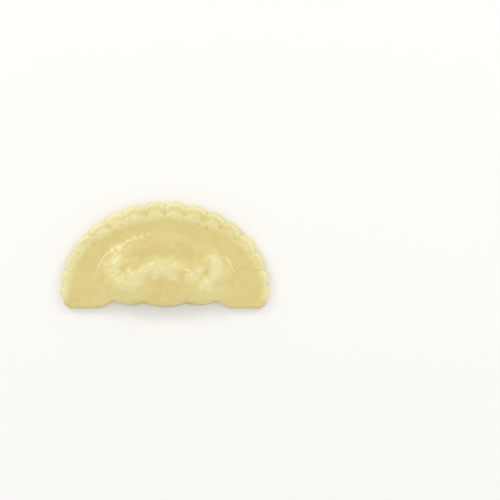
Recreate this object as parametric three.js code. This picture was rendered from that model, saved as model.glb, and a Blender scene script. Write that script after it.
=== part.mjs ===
// A half-moon filled pasta, as a single closed solid in millimetres.
// It is a sheet of dough folded over a filling and pressed shut along a scalloped arc.
// It lies on its flat underside: the straight fold runs along X at the front, the arc
// faces +Y, and the filled side is up, along +Z. The origin is the centre of its footprint.
// The shape is worked out with the fold on y = 0 and moved to that centre at the end.
import * as THREE from "three";
import { mergeVertices } from "three/addons/utils/BufferGeometryUtils.js";

// Driving sizes.
const WIDTH = 76; // side to side, over the scallops
const DEPTH = 38.6; // from the fold to the curve that the scallops' tips touch
const SCALLOP_RISE = 1.1; // a scallop's tip stands this far out of its notches
const SCALLOP_REACH = 6.4; // and no trace of it is left this far in
const SHOULDER = 6.7; // the arc ends and the straight sides begin this far from the fold
const CORNER_RADIUS = 3.1; // of the two ends of the fold
const SEAL_THICKNESS = 2.6; // two sheets of dough pressed together

// Scallops from the corner up to the middle of the arc, by width. The other side mirrors them.
const SCALLOP_WIDTHS = [5.1, 6.0, 7.3, 8.2, 7.3, 7.4, 8.1, 7.9];
// A scallop's outline is a mix of a full arch and a soft wave.
const SCALLOP = { roundness: 2.4, softness: 0.35 };

// The crimp: a thin lip at the cut edge, a shallow groove, and a broader ridge inside it.
const LIP = { inset: 1, width: 0.6, height: 0.32 };
const RIDGE = { inset: 2.9, insetAtTop: 4.1, outerWidth: 1.2, innerWidth: 1.5, height: 0.36 };
const NOTCH_SHARE = 0.35; // of the crimp's height that is left between two scallops
const CRIMP_START = 9; // the crimp grows from nothing over this length of each side's foot
const RIM_LIFT = 0.5; // the sealed rim curls up off the table by this much
const RIM_LIFT_REACH = 7; // and lies flat again this far in

// The fold: the filling pushes three shallow lobes into it, with flat feet on both sides.
const FOLD_LOBE = { halfWidth: 7.8, notchRise: 1.8, rise: 0.55 };
const FOLD_SIDE_LOBE = { end: 18.5, notchRise: 2.3, sag: 0.85 };
const FOOT_START = 23.8;
const FOLD_REACH = 8; // the lobes fade out this far in from the fold

// The cut edge and the fold are rounded, and the full part of the fold is thick and round.
const EDGE_ROUNDING = { top: 1.2, bottom: 1, level: 0.5 }; // level is a share of the seal
const FULL_FOLD = { top: 1.2, bottom: 1.2, level: 0.55 }; // added where the filling is
const FULL_HEIGHT = 2.5; // the fold is full where the filling lifts it by this much

// The filling's outline is an ellipse, longer towards the arc than towards the fold.
const DOME = { centreY: 8.5, halfWidth: 25.7, towardsArc: 19.4, towardsFold: 14 };
// Its slope, as distances in from that outline and heights over the seal. It starts with a crease
// on the side of the arc, and softly, from a little outside, on the side of the fold.
const CRISP_SLOPE = { distances: [0, 5.4, 8.8, 14], heights: [0, 2.5, 3.2, 4.3] };
const SOFT_SLOPE = { distances: [-3, 0, 2.5, 6, 9, 14], heights: [0, 0.25, 1, 2.7, 3.5, 4.3] };
const SLOPE_BLUR = { crisp: 0.5, soft: 1.5, steps: 9 }; // their corners are rounded off this far
const SLOPE_CHANGE = { from: 7, to: 16 }; // soft up to the first y, and crisp from the second
// Lumps of filling that show through the sheet, on the right. The left mirrors them.
const LUMPS = [
  { x: 0, y: 11, halfWidth: 13, halfLength: 6.5, turn: 0, height: 0.35 },
  { x: 0, y: 14.6, halfWidth: 5.2, halfLength: 3.2, turn: 0, height: 0.95 },
  { x: 6.4, y: 13.9, halfWidth: 3.6, halfLength: 2.4, turn: -30, height: 0.5 },
  { x: 15.5, y: 11.5, halfWidth: 5.2, halfLength: 5.6, turn: 0, height: 0.45 },
];

// How finely the solid is cut: stations round the outline, and rings by their inset from it.
const STEPS_PER_SCALLOP = 6;
const STEPS_PER_CORNER = 4;
const STEPS_PER_HALF_FOLD = 26;
const TOP_INSETS = [0, 0.35, 1, 2, 3.3, 4.7, 6.4, 8, 9.5, 11, 12.5, 14, 15.5, 17];
const BOTTOM_INSETS = [0.3, 1, 2.4, 4.5, 7, 12];
const LEAST_CORNER = 0.6; // the rings' corners grow sharper inwards, down to this radius

const rootHalfWidth = WIDTH / 2 - SCALLOP_RISE;
const rootHalfDepth = DEPTH - SHOULDER - SCALLOP_RISE;
const deepestInset = (rootHalfDepth + SHOULDER) / 2; // where the rings close in on one point

const smooth = (from, to, x) => THREE.MathUtils.smoothstep(x, from, to);
const bell = (x) => Math.exp(-x * x);

// One scallop's outline: 1 in its middle, 0 at its notches, for u from -1 to 1.
function lobe(u) {
  const arch = 1 - Math.abs(u) ** SCALLOP.roundness;
  const wave = 0.5 + 0.5 * Math.cos(Math.PI * u);
  return arch * (1 - SCALLOP.softness) + wave * SCALLOP.softness;
}

// How far the fold's edge draws back from a straight line, x from its middle.
function foldRise(x) {
  const away = Math.abs(x);
  const { halfWidth, notchRise, rise } = FOLD_LOBE;
  const { end, notchRise: endRise, sag } = FOLD_SIDE_LOBE;
  if (away < halfWidth) return notchRise - (notchRise - rise) * lobe(away / halfWidth);
  if (away < end) {
    const share = (away - halfWidth) / (end - halfWidth);
    return notchRise + (endRise - notchRise) * share - sag * lobe(2 * share - 1);
  }
  return endRise * (1 - smooth(end, FOOT_START, away));
}

// The half moon through the notches, drawn in by inset: two sides and an arc as one path, the
// radius of its corners, and where its fold ends.
function halfMoon(inset) {
  const corner = Math.max(CORNER_RADIUS - inset, LEAST_CORNER);
  const halfWidth = rootHalfWidth - inset;
  const halfDepth = rootHalfDepth - inset;
  const sideFoot = inset + corner;
  const sideTop = Math.max(SHOULDER, sideFoot);
  const arcStart = Math.asin((sideTop - SHOULDER) / halfDepth);
  const sideX = halfWidth * Math.cos(arcStart);
  const arc = new THREE.Path();
  arc.moveTo(sideX, sideFoot);
  arc.lineTo(sideX, sideTop);
  arc.absellipse(0, SHOULDER, halfWidth, halfDepth, arcStart, Math.PI - arcStart, false);
  arc.lineTo(-sideX, sideFoot);
  return { inset, arc, corner, foldEnd: sideX - corner };
}

// The stations, anticlockwise from the middle of the fold. Each says how to find its point on a
// half moon, and has its place u in its scallop, and for rim how strongly the dough is crimped.
function makeStations() {
  const stations = [];
  const addFold = (share) => {
    const pointOn = ({ inset, foldEnd }) => {
      const fade = Math.max(0, 1 - inset / FOLD_REACH);
      return new THREE.Vector2(share * foldEnd, inset + foldRise(share * foldEnd) * fade);
    };
    stations.push({ pointOn, u: 0, rim: 0, facesArc: 0 });
  };
  const addCorner = (side, share) => {
    const angle = side > 0 ? (share - 1) * (Math.PI / 2) : Math.PI + share * (Math.PI / 2);
    const pointOn = ({ inset, corner, foldEnd }) =>
      new THREE.Vector2(Math.cos(angle), Math.sin(angle))
        .multiplyScalar(corner)
        .add({ x: side * foldEnd, y: inset + corner });
    stations.push({ pointOn, u: 1, rim: 0, facesArc: 0 });
  };
  const addArc = (share, u, rim) => {
    const out = ({ arc }) => {
      const along = arc.getTangent(share);
      return new THREE.Vector2(along.y, -along.x);
    };
    const pointOn = (moon) => {
      const rise = SCALLOP_RISE * lobe(u) * (1 - smooth(0, SCALLOP_REACH, moon.inset));
      return moon.arc.getPoint(share).addScaledVector(out(moon), rise);
    };
    const facesArc = Math.max(0, out(halfMoon(0)).y) ** 2;
    stations.push({ pointOn, u, rim, facesArc });
  };

  for (let i = 0; i < STEPS_PER_HALF_FOLD; i++) addFold(i / STEPS_PER_HALF_FOLD);
  for (let i = 0; i < STEPS_PER_CORNER; i++) addCorner(1, i / STEPS_PER_CORNER);
  const widths = [...SCALLOP_WIDTHS, ...SCALLOP_WIDTHS.toReversed()];
  const total = widths.reduce((sum, width) => sum + width, 0);
  let start = 0;
  for (const width of widths) {
    for (let i = 0; i < STEPS_PER_SCALLOP; i++) {
      const place = start + (width * i) / STEPS_PER_SCALLOP;
      const rim = smooth(0, CRIMP_START, Math.min(place, total - place));
      addArc(place / total, (2 * i) / STEPS_PER_SCALLOP - 1, rim);
    }
    start += width;
  }
  for (let i = 0; i < STEPS_PER_CORNER; i++) addCorner(-1, i / STEPS_PER_CORNER);
  for (let i = STEPS_PER_HALF_FOLD; i > 0; i--) addFold(-i / STEPS_PER_HALF_FOLD);
  return stations;
}

// The height of a slope at a distance in from the filling's outline, with its corners blurred.
function alongSlope(distance, { distances, heights }, blur) {
  const slope = new THREE.LinearInterpolant(distances, heights, 1);
  let sum = 0;
  for (let i = 0; i < SLOPE_BLUR.steps; i++) {
    const shift = blur * ((2 * i) / (SLOPE_BLUR.steps - 1) - 1);
    sum += slope.evaluate(distance + shift)[0];
  }
  return sum / SLOPE_BLUR.steps;
}

// How far the filling lifts the top sheet over the seal at a point, without its lumps.
function domeHeight(x, y) {
  const fromCentre = Math.max(Math.hypot(x, y - DOME.centreY), 1e-6);
  const reach = y > DOME.centreY ? DOME.towardsArc : DOME.towardsFold;
  const out = Math.max(Math.hypot(x / DOME.halfWidth, (y - DOME.centreY) / reach), 1e-6);
  const inwards = fromCentre * (1 / out - 1);
  const crisp = alongSlope(inwards, CRISP_SLOPE, SLOPE_BLUR.crisp);
  const soft = alongSlope(inwards, SOFT_SLOPE, SLOPE_BLUR.soft);
  return THREE.MathUtils.lerp(soft, crisp, smooth(SLOPE_CHANGE.from, SLOPE_CHANGE.to, y));
}

// The lumps over the dome, each a soft oval hill.
function lumps(x, y) {
  let height = 0;
  for (const lump of LUMPS) {
    const from = new THREE.Vector2(Math.abs(x) - lump.x, y - lump.y);
    from.rotateAround({ x: 0, y: 0 }, THREE.MathUtils.degToRad(-lump.turn));
    height += lump.height * bell(Math.hypot(from.x / lump.halfWidth, from.y / lump.halfLength));
  }
  return height;
}

// The crimp's height over the seal, inset from the cut edge.
function crimp(station, inset) {
  const crest = RIDGE.inset + (RIDGE.insetAtTop - RIDGE.inset) * station.facesArc;
  const width = inset < crest ? RIDGE.outerWidth : RIDGE.innerWidth;
  const lip = LIP.height * bell((inset - LIP.inset) / LIP.width);
  const ridge = RIDGE.height * bell((inset - crest) / width);
  return (lip + ridge) * (NOTCH_SHARE + (1 - NOTCH_SHARE) * lobe(station.u)) * station.rim;
}

// A quarter circle, for the edge's rounding: 0 at the edge, 1 from width inwards.
function quarterRound(inset, width) {
  const left = Math.max(0, 1 - inset / width);
  return Math.sqrt(1 - left * left);
}

// One vertex of the skin, on the top sheet or on the underside.
function skinPoint(station, moon, isTop) {
  const { inset } = moon;
  const { x, y } = inset < deepestInset ? station.pointOn(moon) : { x: 0, y: deepestInset };
  const edge = station.pointOn(outline);
  const full = Math.min(1, domeHeight(edge.x, edge.y) / FULL_HEIGHT) * (1 - station.rim);
  const lift = RIM_LIFT * station.rim * (1 - smooth(0, RIM_LIFT_REACH, inset));
  const topSheet = SEAL_THICKNESS + crimp(station, inset) + domeHeight(x, y) + lumps(x, y);
  const sheet = lift + (isTop ? topSheet : 0);
  const side = isTop ? "top" : "bottom";
  const level = EDGE_ROUNDING.level + FULL_FOLD.level * full;
  const edgeZ = RIM_LIFT * station.rim + SEAL_THICKNESS * level;
  const rounding = EDGE_ROUNDING[side] + FULL_FOLD[side] * full;
  return new THREE.Vector3(x, y, edgeZ + (sheet - edgeZ) * quarterRound(inset, rounding));
}

// The squares of a sphere's grid are all cut along the same diagonal. Those of the first half of
// each ring are cut along the other one here, so that the two halves mirror each other.
function mirrorDiagonals(sphere, columns, rows) {
  const corners = sphere.getIndex().array;
  const firstSquare = 3 * columns; // past the fan of single triangles round the crown
  for (let row = 0; row < rows - 2; row++) {
    for (let column = 0; column < columns / 2; column++) {
      const at = firstSquare + 6 * (row * columns + column);
      const [a, b, d, , c] = corners.subarray(at, at + 6);
      corners.set([a, b, c, a, c, d], at);
    }
  }
}

// The skin is a sphere's grid: longitude runs round the outline, latitude from the crown of the
// dome, over the cut edge, to the middle of the underside.
function pastaGeometry() {
  const stations = makeStations();
  const rings = [
    { moon: { inset: deepestInset }, isTop: true },
    ...TOP_INSETS.toReversed().map((inset) => ({ moon: halfMoon(inset), isTop: true })),
    ...BOTTOM_INSETS.map((inset) => ({ moon: halfMoon(inset), isTop: false })),
    { moon: { inset: deepestInset }, isTop: false },
  ];
  const sphere = new THREE.SphereGeometry(1, stations.length, rings.length - 1);
  const position = sphere.getAttribute("position");
  rings.forEach(({ moon, isTop }, row) => {
    for (let column = 0; column <= stations.length; column++) {
      const point = skinPoint(stations[column % stations.length], moon, isTop);
      position.setXYZ(row * (stations.length + 1) + column, point.x, point.y, point.z);
    }
  });
  mirrorDiagonals(sphere, stations.length, rings.length - 1);
  sphere.deleteAttribute("normal");
  sphere.deleteAttribute("uv");
  const skin = mergeVertices(sphere, 1e-3);
  skin.computeBoundingBox();
  const { min, max } = skin.boundingBox;
  skin.translate(-(min.x + max.x) / 2, -(min.y + max.y) / 2, -min.z);
  skin.computeVertexNormals();
  return skin;
}

const outline = halfMoon(0);
const dough = new THREE.MeshStandardMaterial({ color: 0xdecf8a, roughness: 0.45, metalness: 0 });
const pasta = new THREE.Mesh(pastaGeometry(), dough);
pasta.name = "filled_pasta";

const part = new THREE.Group();
part.name = "half_moon_filled_pasta";
part.add(pasta);

export default part;
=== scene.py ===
# %% [markdown]
# # A half-moon filled pasta
#
# The piece is a round of egg dough folded over a spoonful of filling and pressed shut with a
# fluted cutter. It has four things to show: a scalloped, crimped rim, a flat sealed band, a
# low dome with the filling's lumps under the sheet, and a soft fold with three lobes in it.
#
# It could be sculpted by hand, or be a smooth solid with a displacement texture. Here one
# continuous skin makes all of it, as on the real thing. It starts as flat rings, each a half
# moon inside the last. Geometry Nodes then raise it, from masks stored on it, so that every
# size stays a number in millimetres that can be read and changed.

import math

import bpy
import numpy as np
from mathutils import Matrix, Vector


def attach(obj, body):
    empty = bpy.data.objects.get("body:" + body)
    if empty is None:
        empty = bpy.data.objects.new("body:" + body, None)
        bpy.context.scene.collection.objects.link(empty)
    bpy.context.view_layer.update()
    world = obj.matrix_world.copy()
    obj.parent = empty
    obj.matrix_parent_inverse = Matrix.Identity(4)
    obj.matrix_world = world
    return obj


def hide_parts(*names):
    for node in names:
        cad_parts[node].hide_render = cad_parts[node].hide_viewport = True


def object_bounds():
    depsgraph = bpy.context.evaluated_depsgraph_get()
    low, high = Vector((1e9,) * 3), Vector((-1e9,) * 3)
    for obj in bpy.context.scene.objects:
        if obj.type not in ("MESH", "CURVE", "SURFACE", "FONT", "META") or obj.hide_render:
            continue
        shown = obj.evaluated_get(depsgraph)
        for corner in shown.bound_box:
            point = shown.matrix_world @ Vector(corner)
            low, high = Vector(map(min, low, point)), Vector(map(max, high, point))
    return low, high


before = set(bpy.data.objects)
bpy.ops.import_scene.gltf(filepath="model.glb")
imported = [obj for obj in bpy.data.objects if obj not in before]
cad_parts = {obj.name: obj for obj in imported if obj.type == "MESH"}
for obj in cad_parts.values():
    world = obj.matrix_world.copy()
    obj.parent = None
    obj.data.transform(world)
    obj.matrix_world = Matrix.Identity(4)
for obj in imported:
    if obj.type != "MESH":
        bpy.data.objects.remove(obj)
cad_low, cad_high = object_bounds()
MM = 0.001
print("CAD box in mm:", [round(v / MM, 2) for v in (*cad_low, *cad_high)])

# %% [markdown]
# ## The camera
#
# The picture looks straight down on the pasta, so the camera hangs over the table with the top
# of the picture towards +Y. Two measures place it: how many pixels the pasta is wide, and which
# pixel its fold's middle falls on. A long lens keeps the domed side from bulging.

# %% Camera over the table
PICTURE_PIXELS = 500
PASTA_WIDTH_PIXELS = 210
FOLD_MIDDLE_PIXEL = Vector((165.0, 308.6))
LENS = 85.0
SENSOR = 36.0
RIM_HEIGHT = 2.5 * MM

metres_per_pixel = (cad_high.x - cad_low.x) / PASTA_WIDTH_PIXELS
fold_y = cad_low.y
off_centre = (Vector((PICTURE_PIXELS / 2,) * 2) - FOLD_MIDDLE_PIXEL) * metres_per_pixel
distance = PICTURE_PIXELS * metres_per_pixel * LENS / SENSOR

camera = bpy.data.objects.new("camera", bpy.data.cameras.new("camera"))
bpy.context.scene.collection.objects.link(camera)
camera.data.lens = LENS
camera.data.sensor_width = SENSOR
camera.location = (off_centre.x, fold_y - off_centre.y, RIM_HEIGHT + distance)
bpy.context.scene.camera = camera
print("camera at", [round(v / MM, 1) for v in camera.location], "mm")

# %% [markdown]
# ## Sizes
#
# These are the sizes of the solid that this skin replaces, in millimetres, with y measured from
# the fold. The skin could follow the solid's own mesh, but that is too coarse for what it adds:
# the groove behind the lip, the pinch marks, the seam between the sheets and the grains. So it
# is made afresh from the same sizes, and it lies where the solid does.

# %% Driving sizes
WIDTH = 76.0
DEPTH = 38.6
SCALLOP_RISE = 1.1
SCALLOP_REACH = 6.4
SHOULDER = 6.7
CORNER_RADIUS = 3.1
LEAST_CORNER = 0.6
SEAL_THICKNESS = 2.6
SCALLOP_WIDTHS = [5.1, 6.0, 7.3, 8.2, 7.3, 7.4, 8.1, 7.9]
CRIMP_START = 9.0
RIM_LIFT = 0.5
RIM_LIFT_REACH = 7.0

root_half_width = WIDTH / 2 - SCALLOP_RISE
root_half_depth = DEPTH - SHOULDER - SCALLOP_RISE
deepest_inset = (root_half_depth + SHOULDER) / 2
scallop_widths = SCALLOP_WIDTHS + SCALLOP_WIDTHS[::-1]
print(len(scallop_widths), "scallops, rings down to", deepest_inset, "mm in")


# %% [markdown]
# ## The outline
#
# A fluted cutter leaves round lobes that meet in sharp notches. They could be drawn point by
# point, but one formula, a mix of a full arch and a soft wave, draws them all, and the three
# soft lobes of the fold too. The rest is a half ellipse on two short sides.

# %% Curves that everything below is made of
def smooth(start, end, x):
    """0 before start, 1 after end, and an S-curve between them."""
    share = np.clip((x - start) / (end - start), 0, 1)
    return share * share * (3 - 2 * share)


def bell(x):
    """1 at 0, and next to nothing from 2 outwards."""
    return np.exp(-x * x)


def mix(low, high, share):
    """low where the share is 0, and high where it is 1."""
    return low + (high - low) * share


def quarter_round(inset, width):
    """A quarter circle: 0 at the edge, 1 from width inwards."""
    left = np.clip(1 - inset / width, 0, 1)
    return np.sqrt(1 - left * left)


print("smooth and bell at 0.5:", smooth(0, 1, 0.5), round(float(bell(0.5)), 2))

# %% A scallop's lobe
ARCH_POWER = 2.4
WAVE_SHARE = 0.35


def lobe(u):
    """1 in the middle of a scallop, 0 at its notches, for u from -1 to 1."""
    arch = 1 - np.abs(u) ** ARCH_POWER
    wave = (1 + np.cos(np.pi * u)) / 2
    return mix(arch, wave, WAVE_SHARE)


print("half way to its notch a scallop is", round(float(lobe(0.5)), 2), "of its height")

# %% The fold's three lobes, with a flat foot on both sides
MIDDLE_LOBE_END = 7.8
SIDE_LOBE_END = 18.5
FOOT_START = 23.8
MIDDLE_RISE = 0.55
NOTCH_RISE = 1.8
END_RISE = 2.3
SIDE_LOBE_SAG = 0.85


def fold_rise(x):
    """How far the fold draws back from a straight line, x from its middle."""
    away = np.abs(x)
    middle = mix(NOTCH_RISE, MIDDLE_RISE, lobe(np.clip(away / MIDDLE_LOBE_END, 0, 1)))
    along = np.clip((away - MIDDLE_LOBE_END) / (SIDE_LOBE_END - MIDDLE_LOBE_END), 0, 1)
    side = mix(NOTCH_RISE, END_RISE, along) - SIDE_LOBE_SAG * lobe(2 * along - 1)
    foot = END_RISE * (1 - smooth(SIDE_LOBE_END, FOOT_START, away))
    return np.where(away < MIDDLE_LOBE_END, middle, np.where(away < SIDE_LOBE_END, side, foot))


print("fold draws back by", fold_rise(np.array([0, 7.8, 13, 18.5, 24])).round(2), "mm")

# %% [markdown]
# ## Stations round the outline
#
# A grid of squares cut off at the outline would leave ragged steps along the scallops. Rings
# that follow the outline don't. All have the same stations, so that neighbours join up into
# squares. A station knows its place u in its scallop, and how strongly the dough is crimped:
# from nothing at the two corners, where the cutter first bites. Its paler colour starts sooner.

# %% Stations
STEPS_PER_SCALLOP = 28
STEPS_PER_CORNER = 8
STEPS_PER_HALF_FOLD = 96
PALE_START = (-3.5, 2.5)

fold_shares = np.arange(STEPS_PER_HALF_FOLD) / STEPS_PER_HALF_FOLD
corner_shares = np.arange(STEPS_PER_CORNER) / STEPS_PER_CORNER
steps = np.arange(STEPS_PER_SCALLOP) / STEPS_PER_SCALLOP
starts = np.concatenate([[0], np.cumsum(scallop_widths)[:-1]])
arc_places = np.concatenate([s + w * steps for s, w in zip(starts, scallop_widths)])
arc_length = sum(scallop_widths)
from_corner = np.minimum(arc_places, arc_length - arc_places)

side_stations = STEPS_PER_HALF_FOLD + STEPS_PER_CORNER
notch_u = np.ones(side_stations)
uncrimped = np.zeros(side_stations)
arc_u = np.tile(2 * steps - 1, len(scallop_widths))
station_u = np.concatenate([notch_u, arc_u, notch_u])
station_rim = np.concatenate([uncrimped, smooth(0, CRIMP_START, from_corner), uncrimped])
corner_places = (corner_shares - 1) * CORNER_RADIUS * math.pi / 2
side_places = np.concatenate([np.full(STEPS_PER_HALF_FOLD, corner_places[0]), corner_places])
tint_places = np.concatenate([side_places, from_corner, side_places[::-1]])
station_tint = smooth(*PALE_START, tint_places)
STATIONS = len(station_u)
print(STATIONS, "stations")

# %% The stations on the arc
ARC_POINTS = 1500
LOOK_AHEAD = 0.05


def arc_stations(inset, half_width, half_depth, arc_start, side_foot):
    """x, y and the outward direction of the stations between the two corners."""
    side_x = half_width * math.cos(arc_start)
    angles = np.linspace(arc_start, math.pi - arc_start, ARC_POINTS)
    path = np.stack([half_width * np.cos(angles), SHOULDER + half_depth * np.sin(angles)], axis=1)
    path = np.concatenate([[[side_x, side_foot]], path, [[-side_x, side_foot]]])
    run = np.concatenate([[0], np.cumsum(np.hypot(*np.diff(path, axis=0).T))])
    wanted = arc_places / arc_length * run[-1]
    behind, arc, ahead = [
        np.stack([np.interp(wanted + shift, run, path[:, i]) for i in (0, 1)], axis=1)
        for shift in (-LOOK_AHEAD, 0, LOOK_AHEAD)
    ]
    along = ahead - behind
    out = np.stack([along[:, 1], -along[:, 0]], axis=1)
    out /= np.linalg.norm(out, axis=1, keepdims=True)
    rise = SCALLOP_RISE * lobe(arc_u) * (1 - smooth(0, SCALLOP_REACH, inset))
    return arc + out * rise[:, None], out


print(len(arc_places), "stations on the arc")


# %% A whole ring of stations
FOLD_REACH = 8.0
MIRROR = np.array([-1, 1])


def half_moon(inset):
    """x, y and the outward direction of every station on the half moon drawn in by inset."""
    corner = min(max(CORNER_RADIUS - inset, LEAST_CORNER), deepest_inset - inset)
    half_width = root_half_width - inset
    half_depth = root_half_depth - inset
    side_foot = inset + corner
    side_top = max(SHOULDER, side_foot)
    arc_start = math.asin((side_top - SHOULDER) / half_depth)
    side_x = half_width * math.cos(arc_start)
    fold_end = side_x - corner

    fold_x = fold_shares * fold_end
    fold_fade = max(0.0, 1 - inset / FOLD_REACH)
    fold = np.stack([fold_x, inset + fold_rise(fold_x) * fold_fade], axis=1)
    turn = (corner_shares - 1) * math.pi / 2
    corner_out = np.stack([np.cos(turn), np.sin(turn)], axis=1)
    right_corner = corner_out * corner + [fold_end, side_foot]
    arc, arc_out = arc_stations(inset, half_width, half_depth, arc_start, side_foot)

    left_corner = (right_corner * MIRROR)[::-1]
    left_out = (corner_out * MIRROR)[::-1]
    left_corner = np.concatenate([[[-side_x, side_foot]], left_corner[:-1]])
    left_out = np.concatenate([[[-1, 0]], left_out[:-1]])
    left_fold = np.concatenate([[[-fold_end, inset]], (fold * MIRROR)[:0:-1]])
    down = np.tile([0.0, -1.0], (STEPS_PER_HALF_FOLD, 1))
    points = np.concatenate([fold, right_corner, arc, left_corner, left_fold])
    return points, np.concatenate([down, corner_out, arc_out, left_out, down])


outline, outline_out = half_moon(0)
print("outline", outline.min(axis=0).round(2), "to", outline.max(axis=0).round(2), "mm")

# %% [markdown]
# ## One skin of rings
#
# From the top of the dome the rings run outwards, over the cut edge and back in along the
# underside. Even spacing would waste most of them on the flat underside. Instead they crowd
# together at the edge, where the skin turns, and lie about a quarter of a millimetre apart over
# the top, fine enough for the crimp and the grains to be real shape and not paint.

# %% Rings, each with its inset and its side
TOP_SPACING = 0.235
TOP_EDGE_WIDTH = 0.7
BOTTOM_EDGE_WIDTH = 0.6
EDGE_STEPS = 9
EDGE_CROWDING = 1.5
TOP_CENTRE_GAP = 0.12
BOTTOM_CENTRE_GAP = 0.4
BOTTOM_RUNS = [(0.8, 2.5, 0.25), (3, 8, 0.8), (8.5, deepest_inset - BOTTOM_CENTRE_GAP, 1.3)]

turns = np.linspace(0, 1, EDGE_STEPS)[1:] ** EDGE_CROWDING * math.pi / 2
top_edge = TOP_EDGE_WIDTH * (1 - np.cos(turns))
top_inner = np.arange(TOP_EDGE_WIDTH + TOP_SPACING, deepest_inset - TOP_CENTRE_GAP, TOP_SPACING)
bottom_edge = BOTTOM_EDGE_WIDTH * (1 - np.cos(turns))
bottom_inner = np.concatenate([np.arange(start, end, gap) for start, end, gap in BOTTOM_RUNS])
insets = np.concatenate([top_inner[::-1], top_edge[::-1], [0], bottom_edge, bottom_inner])
top_rings = len(top_inner) + len(top_edge) + 1
ring_is_top = np.arange(len(insets)) < top_rings
print(len(insets), "rings,", top_rings, "of them on the top sheet")

# %% Every vertex, by ring and station
points = np.array([half_moon(ring_inset)[0] for ring_inset in insets])
x, y = points[..., 0], points[..., 1]
inset = np.broadcast_to(insets[:, None], x.shape)
is_top = np.broadcast_to(ring_is_top[:, None], x.shape).astype(float)
u = np.broadcast_to(station_u, x.shape)
rim = np.broadcast_to(station_rim, x.shape)
rim_tint = np.broadcast_to(station_tint, x.shape)
faces_arc = np.broadcast_to(np.maximum(0, outline_out[:, 1]) ** 2, x.shape)
sideways = 1 - faces_arc
arc_widths = np.repeat(scallop_widths, STEPS_PER_SCALLOP)
scallop_width = np.concatenate([notch_u, arc_widths, notch_u])
print(x.size, "vertices")

# %% [markdown]
# ## Masks for the relief
#
# Each kind of relief is a mask: 1 where it is strongest and 0 where there is none of it. The
# masks say where, and the Geometry Nodes tree further down says how high. A painted image could
# say where too, but these are written in millimetres on the flat sheet and can be checked
# against a ruler. Nothing pressed by hand is even, so most of them are read at places that a
# smooth noise has shifted a little.

# %% Noise, and the shifted places
LATTICE = 256


def wobble(x, y, size, seed):
    """Smooth noise from -1 to 1 whose hills are about size apart."""
    lattice = np.random.default_rng(seed).uniform(-1, 1, (LATTICE, LATTICE))
    across, up = x / size + LATTICE / 2, y / size + LATTICE / 2
    column, row = np.floor(across).astype(int), np.floor(up).astype(int)
    share_across, share_up = smooth(0, 1, across - column), smooth(0, 1, up - row)
    left, right = column % LATTICE, (column + 1) % LATTICE
    below, above = row % LATTICE, (row + 1) % LATTICE
    low = mix(lattice[below, left], lattice[below, right], share_across)
    high = mix(lattice[above, left], lattice[above, right], share_across)
    return mix(low, high, share_up)


def shifted(x, y, amount, size, seed):
    """The places x, y moved by smooth noise, by up to amount each way."""
    return x + amount * wobble(x, y, size, seed), y + amount * wobble(x, y, size, seed + 1)


soft_x, soft_y = shifted(x, y, amount=0.45, size=3.2, seed=11)
soft_x, soft_y = shifted(soft_x, soft_y, amount=0.2, size=1.1, seed=21)
fine_x, fine_y = shifted(soft_x, soft_y, amount=0.24, size=0.75, seed=91)
print("places shifted by up to", round(float(np.hypot(soft_x - x, soft_y - y).max()), 2), "mm")

# %% [markdown]
# ## The crimp
#
# The cutter leaves a thin lip at the edge, a groove behind it that is deepest at the notches,
# and a soft pad of dough in each scallop. Where two scallops meet the sheets are pinched. All of
# it is worked out from the distance in from the edge and the place in the scallop, so that it
# turns with the outline, which a texture laid over the piece from above would not do. Down the
# two sides the crimp is narrower and shallower.

# %% The lip, the groove behind it, and the pads
SIDE_CRIMP_SCALE = 0.7
LIP_INSET = 1.0
LIP_WIDTH = 0.6
SIDE_LIP_WIDTH = 1.7
HOLLOW_INSET = 2.5
HOLLOW_NOTCH_SHIFT = 0.6
HOLLOW_WIDTH = 0.45
NOTCH_HOLLOW_WIDTH = 0.95
PAD_START = 1.8
PAD_NOTCH_SHIFT = 1.5
PAD_RISE_LENGTH = 1.9
PAD_FALL = (3.9, 7.4)

pressed = inset / mix(SIDE_CRIMP_SCALE, 1, faces_arc) + 0.16 * wobble(x, y, size=3.5, seed=31)
lobes = lobe(u)
at_notch = 1 - lobes
uneven = 1 + 0.3 * wobble(x, y, size=6.0, seed=33)
lip_width = np.where(pressed < LIP_INSET, LIP_WIDTH, mix(LIP_WIDTH, SIDE_LIP_WIDTH, sideways))
lip = bell((pressed - LIP_INSET) / lip_width) * mix(0.55, 1, lobes) * rim
hollow_inset = HOLLOW_INSET + HOLLOW_NOTCH_SHIFT * at_notch
hollow = bell((pressed - hollow_inset) / mix(HOLLOW_WIDTH, NOTCH_HOLLOW_WIDTH, at_notch))
hollow = hollow * mix(0.35, 1, at_notch) * mix(0.1, 1, faces_arc) * rim
pad_start = PAD_START + PAD_NOTCH_SHIFT * at_notch
pad = smooth(pad_start, pad_start + PAD_RISE_LENGTH, pressed)
pad = pad * (1 - smooth(*PAD_FALL, pressed)) * uneven * rim * mix(0.2, 1, faces_arc)
print("pads reach", round(float(inset[pad > 0.1].max()), 1), "mm in from the edge")

# %% Pinches at the notches, and the ledge where the upper sheet was cut a little short
PINCH_WIDTH = 0.45
PINCH_FADE = (1.6, 4.4)
LEDGE_EDGE = (0.5, 0.75)
LEDGE_STARTS = (13, 17)
LEDGE_ENDS = (30, 33)
LEDGE_ABOVE = 20

from_notch = (1 - np.abs(u)) * scallop_width / 2
pinch = bell(from_notch / PINCH_WIDTH) * (1 - smooth(*PINCH_FADE, pressed)) * rim
ledge = (1 - smooth(*LEDGE_EDGE, inset)) * (y > LEDGE_ABOVE)
ledge = ledge * smooth(*LEDGE_STARTS, x) * (1 - smooth(*LEDGE_ENDS, x))
on_ledge = x[ledge > 0.5]
print("the ledge runs from x", round(float(on_ledge.min())), "to", round(float(on_ledge.max())), "mm")

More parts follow.
